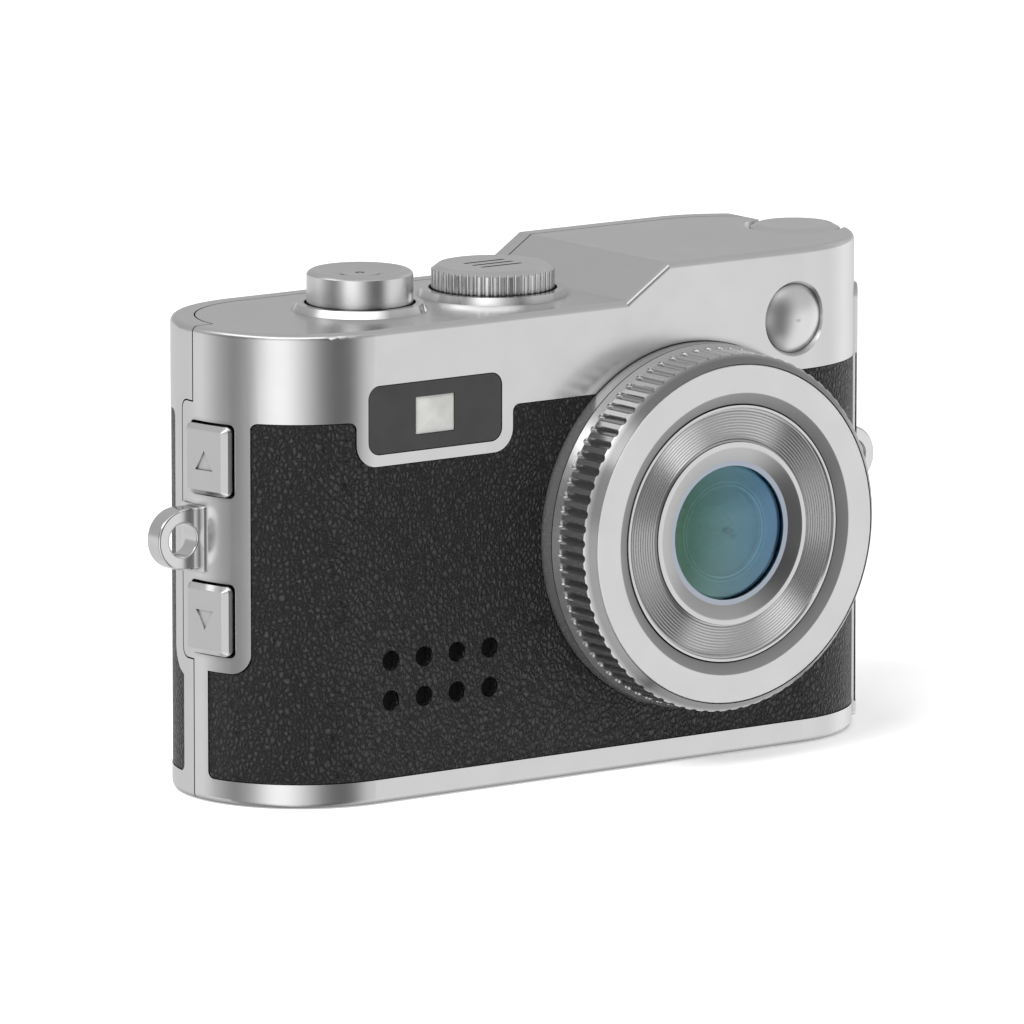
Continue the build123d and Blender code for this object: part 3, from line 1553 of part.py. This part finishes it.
screw_seat = post_meet + screw_head_height
with BuildPart() as case_screws:
    with BuildSketch(facing_front(screw_seat)):
        with Locations(*post_places):
            Circle(screw_radius)
    extrude(amount=screw_length)
    with BuildSketch(facing_front(screw_seat + screw_head_height)):
        with Locations(*post_places):
            Circle(screw_head_radius)
    extrude(amount=screw_head_height)
case_screws.part.label = "case_screws"
export_step(case_screws.part, "parts/case_screws.step")
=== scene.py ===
import math

import bpy
from mathutils import Matrix, Vector

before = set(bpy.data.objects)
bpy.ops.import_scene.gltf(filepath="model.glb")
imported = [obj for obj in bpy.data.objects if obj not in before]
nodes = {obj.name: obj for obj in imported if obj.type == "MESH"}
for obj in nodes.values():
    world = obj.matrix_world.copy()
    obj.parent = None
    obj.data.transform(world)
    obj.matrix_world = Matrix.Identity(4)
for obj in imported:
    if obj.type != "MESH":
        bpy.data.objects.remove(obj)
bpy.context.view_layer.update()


# ---- Case shells -------------------------------------------------------------------------
# The front and rear shells are die-cast alloy, bead blasted and then clear coated, which
# leaves a satin silver with a very fine even tooth. The right end cover is the same metal.
def new_finish(name):
    """An empty node material with its shader ready, for one finish of the camera."""
    finish = bpy.data.materials.new(name)
    finish.use_nodes = True
    tree = finish.node_tree
    tree.nodes.clear()
    output = tree.nodes.new("ShaderNodeOutputMaterial")
    shader = tree.nodes.new("ShaderNodeBsdfPrincipled")
    tree.links.new(shader.outputs["BSDF"], output.inputs["Surface"])
    return finish, tree, shader


def place_in(tree, stretch=(1, 1, 1)):
    """The point on the piece in metres, stretched along each axis."""
    where = tree.nodes.new("ShaderNodeTexCoord")
    scale = tree.nodes.new("ShaderNodeMapping")
    scale.inputs["Scale"].default_value = stretch
    tree.links.new(where.outputs["Object"], scale.inputs["Vector"])
    return scale.outputs["Vector"]


def noise(tree, where, size, detail=2.0):
    """Soft irregular mottling whose patches are about one size in metres across."""
    texture = tree.nodes.new("ShaderNodeTexNoise")
    texture.inputs["Scale"].default_value = 1 / size
    texture.inputs["Detail"].default_value = detail
    tree.links.new(where, texture.inputs["Vector"])
    return texture.outputs["Fac"]


def between(tree, amount, low, high, low_in=0.3, high_in=0.7):
    """Spreads an amount over a range from low to high."""
    spread = tree.nodes.new("ShaderNodeMapRange")
    spread.inputs["From Min"].default_value = low_in
    spread.inputs["From Max"].default_value = high_in
    spread.inputs["To Min"].default_value = low
    spread.inputs["To Max"].default_value = high
    tree.links.new(amount, spread.inputs["Value"])
    return spread.outputs["Result"]


def tint(tree, amount, stops):
    """A colour that changes with an amount from 0 to 1."""
    ramp = tree.nodes.new("ShaderNodeValToRGB")
    bar = ramp.color_ramp
    while len(bar.elements) < len(stops):
        bar.elements.new(0.5)
    for element, (at, colour) in zip(bar.elements, stops):
        element.position = at
        element.color = (*colour, 1)
    tree.links.new(amount, ramp.inputs["Fac"])
    return ramp.outputs["Color"]


def relief(tree, shader, height, depth, strength=1.0):
    """Raises the surface by height times depth, in metres."""
    bump = tree.nodes.new("ShaderNodeBump")
    bump.inputs["Strength"].default_value = strength
    bump.inputs["Distance"].default_value = depth
    tree.links.new(height, bump.inputs["Height"])
    tree.links.new(bump.outputs["Normal"], shader.inputs["Normal"])


def grey(value, warm=0.0):
    """A neutral colour, a little warmer or cooler."""
    return (value * (1 + warm), value, value * (1 - warm))


def edge_rub(tree, reach):
    """How much a spot is rubbed: 0 on open faces, up to 1 within reach metres of an edge."""
    rounded = tree.nodes.new("ShaderNodeBevel")
    rounded.samples = 4
    rounded.inputs["Radius"].default_value = reach
    flat_face = tree.nodes.new("ShaderNodeNewGeometry")
    agree = tree.nodes.new("ShaderNodeVectorMath")
    agree.operation = "DOT_PRODUCT"
    tree.links.new(rounded.outputs["Normal"], agree.inputs[0])
    tree.links.new(flat_face.outputs["Normal"], agree.inputs[1])
    return between(tree, agree.outputs["Value"], 0.7, 0, 0.80, 0.985)


def silver(name, shade, gloss, tooth_size=0.00012, tooth_depth=0.0000008, metal=1.0, rings=None):
    """Bare or clear-coated metal: faint cloudiness, uneven gloss, a fine tooth, rubbed edges and
    painted shade in the crevices. rings gives a turned lens part a tone for each distance from the
    lens axis, which paints shade and highlight lines onto it."""
    finish, tree, shader = new_finish(name)
    where = place_in(tree)
    cloud = noise(tree, where, 0.009, 4)
    colour = tint(tree, cloud, [(0.25, grey(shade * 0.975, -0.002)), (0.75, grey(shade * 1.015))])
    rub = edge_rub(tree, 0.00018)
    worn = tree.nodes.new("ShaderNodeMix")
    worn.data_type = "RGBA"
    worn.inputs["B"].default_value = (*grey(min(1, shade * 1.12)), 1)
    tree.links.new(rub, worn.inputs["Factor"])
    tree.links.new(colour, worn.inputs["A"])
    # Painted shade: the colour is darkened where ambient occlusion finds other surfaces close by, in gaps,
    # crevices and flutes.
    crevice = tree.nodes.new("ShaderNodeAmbientOcclusion")
    crevice.samples = 6
    crevice.inputs["Distance"].default_value = 0.0009
    painted_crevice_shade = between(tree, crevice.outputs["AO"], 0.22, 1, 0.25, 0.92)
    crevice_shaded_colour = tree.nodes.new("ShaderNodeVectorMath")
    crevice_shaded_colour.operation = "SCALE"
    tree.links.new(worn.outputs["Result"], crevice_shaded_colour.inputs[0])
    tree.links.new(painted_crevice_shade, crevice_shaded_colour.inputs["Scale"])
    coat = crevice_shaded_colour.outputs["Vector"]
    # The ring tones paint shade and highlight lines onto the part by distance from the lens axis.
    if rings:
        (low, high), stops = rings
        by_ring = tint(tree, between(tree, from_lens_axis(tree), 0, 1, low, high), stops)
        toned = tree.nodes.new("ShaderNodeMix")
        toned.data_type = "RGBA"
        toned.blend_type = "MULTIPLY"
        toned.inputs["Factor"].default_value = 1.0
        tree.links.new(coat, toned.inputs["A"])
        tree.links.new(by_ring, toned.inputs["B"])
        coat = toned.outputs["Result"]
    tree.links.new(coat, shader.inputs["Base Color"])
    shader.inputs["Metallic"].default_value = metal
    fine = noise(tree, where, tooth_size, 2)
    smear = noise(tree, where, 0.0035, 5)
    tree.links.new(between(tree, smear, gloss * 0.93, gloss * 1.07), shader.inputs["Roughness"])
    relief(tree, shader, fine, tooth_depth)
    return finish


def finish_nodes(finish, *names):
    """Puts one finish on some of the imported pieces."""
    for name in names:
        piece = nodes[name]
        if not piece.material_slots:
            piece.data.materials.append(finish)
        for slot in piece.material_slots:
            slot.material = finish


satin_silver = silver("satin_silver", shade=0.82, gloss=0.24)
finish_nodes(satin_silver, "front_shell", "rear_shell", "end_cover")

# ---- Leather covering --------------------------------------------------------------------
# Thin black leatherette, embossed with a small pebble grain, cut to shape and glued into a
# shallow bed round the case. The pebbles are glossier on top than in the creases between, and the
# creases are painted darker than the pebble tops as painted shade.
pebble = 0.00078
finish, tree, shader = new_finish("black_leather")
flat_place = place_in(tree, (1.25, 1.25, 0.95))
waver = tree.nodes.new("ShaderNodeTexNoise")
waver.inputs["Scale"].default_value = 1 / (pebble * 2.6)
waver.inputs["Detail"].default_value = 2
tree.links.new(flat_place, waver.inputs["Vector"])
shift = tree.nodes.new("ShaderNodeVectorMath")
shift.operation = "MULTIPLY_ADD"
shift.inputs[1].default_value = (pebble * 0.9,) * 3
tree.links.new(waver.outputs["Color"], shift.inputs[0])
tree.links.new(flat_place, shift.inputs[2])
crease_parts = []
for size, weight in ((pebble, 1.0), (pebble * 0.47, 0.25)):
    cells = tree.nodes.new("ShaderNodeTexVoronoi")
    cells.feature = "DISTANCE_TO_EDGE"
    cells.inputs["Scale"].default_value = 1 / size
    tree.links.new(shift.outputs["Vector"], cells.inputs["Vector"])
    crown = tree.nodes.new("ShaderNodeMapRange")
    crown.interpolation_type = "SMOOTHSTEP"
    crown.inputs["From Max"].default_value = 0.42
    crown.inputs["To Max"].default_value = weight
    tree.links.new(cells.outputs["Distance"], crown.inputs["Value"])
    crease_parts.append(crown.outputs["Result"])
grain = tree.nodes.new("ShaderNodeMath")
grain.operation = "ADD"
tree.links.new(crease_parts[0], grain.inputs[0])
tree.links.new(crease_parts[1], grain.inputs[1])
leather_crease_painted_shade = (0.0065, 0.0065, 0.0067)
leather_light = (0.0155, 0.0155, 0.016)
# Painted shade: the creases between the pebbles are coloured darker than the pebble tops.
tree.links.new(
    tint(tree, between(tree, grain.outputs[0], 0, 1, 0.1, 1.2),
         [(0, leather_crease_painted_shade), (1, leather_light)]),
    shader.inputs["Base Color"],
)
patches = noise(tree, flat_place, 0.006, 3)
tree.links.new(between(tree, patches, 0.25, 0.32), shader.inputs["Roughness"])
shine = between(tree, grain.outputs[0], 0.35, 0.95, 0.1, 1.1)
tree.links.new(shine, shader.inputs["Specular IOR Level"])
relief(tree, shader, grain.outputs[0], 0.00022)
finish_nodes(finish, "front_leather", "rear_leather", "end_leather")

# ---- Strap lugs --------------------------------------------------------------------------
# A rounded eye on a small foot at each end, cast in the same alloy and brightly polished.
# Each is held by a stem through the wall and a spring clip inside.
polished_silver = silver("polished_silver", shade=0.82, gloss=0.14, tooth_depth=0.0000004)
finish_nodes(polished_silver, "strap_lug_left", "strap_lug_right")

# ---- Keys, button, dials and their collars ------------------------------------------------
# All turned or milled from bar and satin finished like the case; the collars round the
# button and the mode dial are a little brighter.
finish_nodes(satin_silver, "side_key_up", "side_key_down", "shutter_button", "mode_dial",
             "thumb_dial", "nav_ring", "ok_key", "menu_key", "play_key", "battery_door")
finish_nodes(polished_silver, "shutter_collar", "mode_dial_collar")

# ---- Lens rings ----------------------------------------------------------------------------
# The boss and the fluted control ring are satin silver; the boss is painted darker for shade and the
# flutes' valleys carry painted shade. The flat front plate is finer and paler, with painted shade on
# its cone band; the dress ring inside it is turned with fine grooves and painted a little lighter at
# its edges as painted highlight lines; the glass sits in a bright cone painted with shade that
# lightens outwards, a painted highlight line at its outer edge and a pale blue lip.
lens_level = 0.031


def from_lens_axis(tree):
    """Distance from the lens axis in metres, for finishes that change from ring to ring."""
    split = tree.nodes.new("ShaderNodeSeparateXYZ")
    tree.links.new(place_in(tree), split.inputs["Vector"])
    flat = tree.nodes.new("ShaderNodeCombineXYZ")
    tree.links.new(split.outputs["X"], flat.inputs["X"])
    tree.links.new(split.outputs["Z"], flat.inputs["Z"])
    reach = tree.nodes.new("ShaderNodeVectorMath")
    reach.operation = "DISTANCE"
    reach.inputs[1].default_value = (0, 0, lens_level)
    tree.links.new(flat.outputs["Vector"], reach.inputs[0])
    return reach.outputs["Value"]


# Painted shade: the boss is a darker copy of the satin silver, for the shade its side sits in.
finish_nodes(silver("boss_silver_painted_shade", shade=0.45, gloss=0.24, metal=0.80), "lens_boss")
# Painted shade: the flutes' valleys are coloured darker than their ridges.
control_ring_painted_shade = ((0.0227, 0.0234), [(0, grey(0.42)), (0.45, grey(0.62)), (0.8, grey(1.0))])
finish_nodes(silver("ring_silver", shade=0.70, gloss=0.18, metal=0.92, rings=control_ring_painted_shade), "control_ring")
# Painted shade: the cone band between the plate and the dress ring is coloured dark grey, with the edges
# left light.
plate_cone_painted_shade = ((0.0166, 0.0186), [(0, grey(1.0)), (0.10, grey(0.34)), (0.82, grey(0.42)), (0.88, grey(1.0))])
finish_nodes(silver("pale_silver", shade=0.90, gloss=0.42, tooth_depth=0.0000012, metal=0.85,
                    rings=plate_cone_painted_shade), "lens_plate")
# Painted highlight: the dress ring is a little lighter at its inner and outer edges than across its face.
dress_ring_painted_highlights = ((0.0116, 0.0170), [(0, grey(1.0)), (0.05, grey(0.92)), (0.86, grey(0.92)), (0.93, grey(1.0))])
finish_nodes(silver("turned_silver", shade=0.80, gloss=0.20, rings=dress_ring_painted_highlights), "dress_ring")
# Painted shade and highlight: the cone is darker towards the glass and lighter outwards, with a bright line
# at its outer edge; the lip is tinted pale blue.
retainer_painted_shade_and_lip_tint = ((0.0086, 0.0114), [(0, (0.62, 0.68, 0.78)), (0.25, (0.62, 0.68, 0.78)), (0.30, grey(0.70)),
                                 (0.88, grey(0.78)), (0.94, grey(1.0))])
finish_nodes(silver("bright_cone", shade=0.80, gloss=0.22, tooth_depth=0.0000003, rings=retainer_painted_shade_and_lip_tint),
             "glass_retainer")


# ---- Glass ---------------------------------------------------------------------------------
# The front glass is a dome with a soft green to blue coating, its change from green at the left to
# blue at the right a painted reflection; a smaller glass sits behind it in a grey ring painted with
# highlight lines, with the blades' plate and the rear glass deeper in a black barrel.
def coated(name, across, stops, mirror, gloss):
    """Clear glass tinted by a coloured coating; the change of colour across the lens is a painted
    reflection.
    """
    finish, tree, shader = new_finish(name)
    where = place_in(tree)
    split = tree.nodes.new("ShaderNodeSeparateXYZ")
    tree.links.new(where, split.inputs["Vector"])
    painted_reflection_across = between(tree, split.outputs["X"], 0, 1, -across, across)
    tree.links.new(tint(tree, painted_reflection_across, stops), shader.inputs["Base Color"])
    shader.inputs["Metallic"].default_value = mirror
    shader.inputs["Transmission Weight"].default_value = 1.0
    shader.inputs["IOR"].default_value = 1.5
    haze = noise(tree, where, 0.004, 2)
    tree.links.new(between(tree, haze, gloss * 0.7, gloss * 1.3), shader.inputs["Roughness"])
    return finish


green = (0.46, 0.70, 0.56)
teal = (0.36, 0.60, 0.64)
blue = (0.28, 0.58, 0.84)
finish_nodes(coated("front_coating", 0.0087, [(0, green), (0.45, teal), (1, blue)], 0.15, 0.012),
             "front_glass")
finish_nodes(coated("inner_coating", 0.0056, [(0, green), (1, teal)], 0.04, 0.01), "inner_glass")
finish_nodes(coated("rear_coating", 0.009, [(0, blue), (1, (0.2, 0.2, 0.9))], 0.6, 0.03), "rear_glass")
# Painted highlights: pale concentric lines on the grey ring, with darker bands between them.
inner_ring_painted_highlights = ((0.0050, 0.0066), [
    (0, grey(0.25)), (0.16, grey(0.25)), (0.20, grey(1.0)), (0.26, grey(1.0)), (0.30, grey(0.3)),
    (0.44, grey(0.3)), (0.48, grey(1.0)), (0.54, grey(1.0)), (0.58, grey(0.35)), (0.74, grey(0.4)),
    (0.78, grey(0.9)), (0.83, grey(0.9)), (0.88, grey(0.45)),
])
ring_metal = silver("lens_ring_grey", shade=0.98, gloss=0.30, metal=0.0, rings=inner_ring_painted_highlights)
finish_nodes(ring_metal, "inner_lens_ring")


# ---- Dark plastic and black metal ------------------------------------------------------------
# Moulded parts have a fine spark texture from the mould; the barrel and blades' plate are
# blackened aluminium.
def moulded(name, colour, gloss, tooth_size=0.00025, tooth_depth=0.000006, metal=0.0):
    """A moulded or anodised part of one colour with a fine even tooth."""
    finish, tree, shader = new_finish(name)
    where = place_in(tree)
    cloud = noise(tree, where, 0.004, 4)
    darker = tuple(0.85 * c for c in colour)
    lighter = tuple(min(1, 1.12 * c) for c in colour)
    tree.links.new(tint(tree, cloud, [(0.3, darker), (0.7, lighter)]), shader.inputs["Base Color"])
    tree.links.new(between(tree, cloud, gloss * 0.9, gloss * 1.1), shader.inputs["Roughness"])
    shader.inputs["Metallic"].default_value = metal
    relief(tree, shader, noise(tree, where, tooth_size), tooth_depth)
    return finish


black_plastic = moulded("black_plastic", grey(0.02), 0.55)
finish_nodes(moulded("speaker_cloth", grey(0.0015), 0.8), "speaker")
finish_nodes(black_plastic, "flash_module", "mode_encoder", "thumb_encoder",
             "shutter_switch", "screen_module", "battery_bay")
black_metal = moulded("black_metal", grey(0.025), 0.40, metal=0.6)
finish_nodes(black_metal, "aperture_plate")
finish_nodes(moulded("barrel_grey", (0.07, 0.085, 0.08), 0.40), "lens_barrel")
finish_nodes(moulded("circuit_board", (0.02, 0.12, 0.05), 0.35), "main_board", "key_board",
             "sensor_board", "side_switch_board")
finish_nodes(moulded("sensor_face", (0.06, 0.05, 0.10), 0.15, tooth_depth=0.0000005), "image_sensor")
finish_nodes(moulded("battery_wrap", grey(0.06), 0.4), "battery")

# ---- Flash window and its diffuser -----------------------------------------------------------
# The window is smoked acrylic, flat and glossy; the lamp shines through a frosted square
# diffuser moulded with four facets.
finish_nodes(moulded("smoked_acrylic", grey(0.028), 0.12, tooth_depth=0.0000004), "flash_window")
finish_nodes(moulded("frosted_diffuser", (0.50, 0.50, 0.485), 0.35, 0.0004, 0.00001), "flash_diffuser")

# ---- Mirror ----------------------------------------------------------------------------------
# A small polished dome, pressed from steel and chromed, sunk in a bevelled recess.
mirror_chrome = silver("mirror_chrome", shade=0.94, gloss=0.32, tooth_depth=0.0000002)
finish_nodes(mirror_chrome, "selfie_mirror")

# ---- Screen ----------------------------------------------------------------------------------
# Black glass over the display, hard coated and glossy.
finish_nodes(moulded("screen_glass", grey(0.008), 0.08, tooth_depth=0.0000003), "screen_window")

# ---- Steel fittings ---------------------------------------------------------------------------
# The tripod socket, hinge pin, screws, spring and lug clips are plated steel.
finish_nodes(silver("plated_steel", shade=0.62, gloss=0.28), "tripod_socket", "hinge_pin",
             "case_screws", "shutter_spring", "lug_clips")

# ---- Floor, light and camera ------------------------------------------------------------------
# A white table, a soft tent of light with brighter panels round the object and a bright
# strip at the upper front left, and one large soft light overhead.
floor_reach = 6.0
floor_mesh = bpy.data.meshes.new("floor")
floor_mesh.from_pydata(
    [(-floor_reach, -floor_reach, 0), (floor_reach, -floor_reach, 0),
     (floor_reach, floor_reach, 0), (-floor_reach, floor_reach, 0)],
    [], [(0, 1, 2, 3)],
)
floor = bpy.data.objects.new("floor", floor_mesh)
bpy.context.scene.collection.objects.link(floor)
floor.location.z = -0.0001
floor.visible_glossy = False
white_table, tree, shader = new_finish("white_table")
shader.inputs["Base Color"].default_value = (0.9, 0.9, 0.9, 1)
shader.inputs["Roughness"].default_value = 0.9
shader.inputs["Emission Color"].default_value = (1, 1, 1, 1)
shader.inputs["Emission Strength"].default_value = 0.45
floor_mesh.materials.append(white_table)

world = bpy.data.worlds.new("light_tent")
bpy.context.scene.world = world
world.use_nodes = True
tree = world.node_tree
tree.nodes.clear()
output = tree.nodes.new("ShaderNodeOutputWorld")
tent = tree.nodes.new("ShaderNodeBackground")
tree.links.new(tent.outputs["Background"], output.inputs["Surface"])
direction = tree.nodes.new("ShaderNodeTexCoord")
split = tree.nodes.new("ShaderNodeSeparateXYZ")
tree.links.new(direction.outputs["Generated"], split.inputs["Vector"])


def sum_of(tree, kind, first, second=None, value=0.0):
    """One step of arithmetic on the light's direction."""
    step = tree.nodes.new("ShaderNodeMath")
    step.operation = kind
    tree.links.new(first, step.inputs[0])
    if second is not None:
        tree.links.new(second, step.inputs[1])
    else:
        step.inputs[1].default_value = value
    return step.outputs[0]


leftward = sum_of(tree, "MULTIPLY", split.outputs["X"], value=-1)
forward = sum_of(tree, "MULTIPLY", split.outputs["Y"], value=-1)
bearing = sum_of(tree, "ARCTAN2", leftward, forward)
turn = between(tree, bearing, 0, 1, -math.pi, math.pi)
panels = [
    (-180, 0.66), (-150, 0.72), (-128, 0.72), (-96, 0.98), (-68, 0.76), (-36, 0.86), (-24, 0.60),
    (-12, 0.15), (3, 0.12), (16, 0.24), (32, 0.72), (48, 1.20), (62, 1.18), (80, 0.42), (96, 0.22),
    (116, 0.48), (134, 0.82), (150, 0.66),
]
panel_stops = [((angle + 180) / 360, grey(level)) for angle, level in panels]
panel_light = tint(tree, turn, panel_stops)
lift = between(tree, split.outputs["Z"], 0, 1, 0.35, 0.75)
roof = tree.nodes.new("ShaderNodeMix")
roof.data_type = "RGBA"
roof.inputs["B"].default_value = (0.46, 0.46, 0.46, 1)
tree.links.new(lift, roof.inputs["Factor"])
above = between(tree, split.outputs["Z"], 1.0, 0.62, -0.04, 0.10)
upper = tree.nodes.new("ShaderNodeVectorMath")
upper.operation = "SCALE"
tree.links.new(panel_light, upper.inputs[0])
tree.links.new(above, upper.inputs["Scale"])
tree.links.new(upper.outputs["Vector"], roof.inputs["A"])
strip_low = between(tree, split.outputs["Z"], 0, 1, 0.50, 0.58)
strip_high = between(tree, split.outputs["Z"], 1, 0, 0.76, 0.84)
front_left = sum_of(tree, "ADD", leftward, sum_of(tree, "MULTIPLY", forward, value=0.6))
strip_side = between(tree, front_left, 0, 1, 0.05, 0.55)
strip = sum_of(tree, "MULTIPLY", sum_of(tree, "MULTIPLY", strip_low, strip_high), strip_side)
softbox = tree.nodes.new("ShaderNodeVectorMath")
softbox.operation = "SCALE"
tree.links.new(roof.outputs["Result"], softbox.inputs[0])
tree.links.new(between(tree, strip, 1, 4.0, 0, 1), softbox.inputs["Scale"])
tree.links.new(softbox.outputs["Vector"], tent.inputs["Color"])
tent.inputs["Strength"].default_value = 1.0

overhead = bpy.data.lights.new("overhead", "AREA")
overhead.shape = "SQUARE"
overhead.size = 0.9
overhead.energy = 24
overhead_lamp = bpy.data.objects.new("overhead", overhead)
bpy.context.scene.collection.objects.link(overhead_lamp)
overhead_lamp.visible_glossy = False
overhead_lamp.location = (-1.0, -0.45, 1.25)
to_object = Vector((0, 0, 0.03)) - overhead_lamp.location
overhead_lamp.rotation_euler = to_object.to_track_quat("-Z", "Y").to_euler()

camera_data = bpy.data.cameras.new("camera")
camera_data.lens = 424.9
camera_data.sensor_width = 36
camera_data.clip_start = 0.05
camera_data.clip_end = 50
camera = bpy.data.objects.new("camera", camera_data)
bpy.context.scene.collection.objects.link(camera)
camera_right = Vector((0.8088, -0.5881, 0))
camera_up = Vector((0.1034, 0.1422, 0.9844))
camera_back = Vector((-0.5789, -0.7962, 0.1759))
camera.matrix_world = Matrix.Translation((-0.9199, -1.2427, 0.3063)) @ Matrix(
    (camera_right, camera_up, camera_back)
).transposed().to_4x4()
bpy.context.scene.camera = camera
bpy.context.scene.view_settings.view_transform = "Standard"
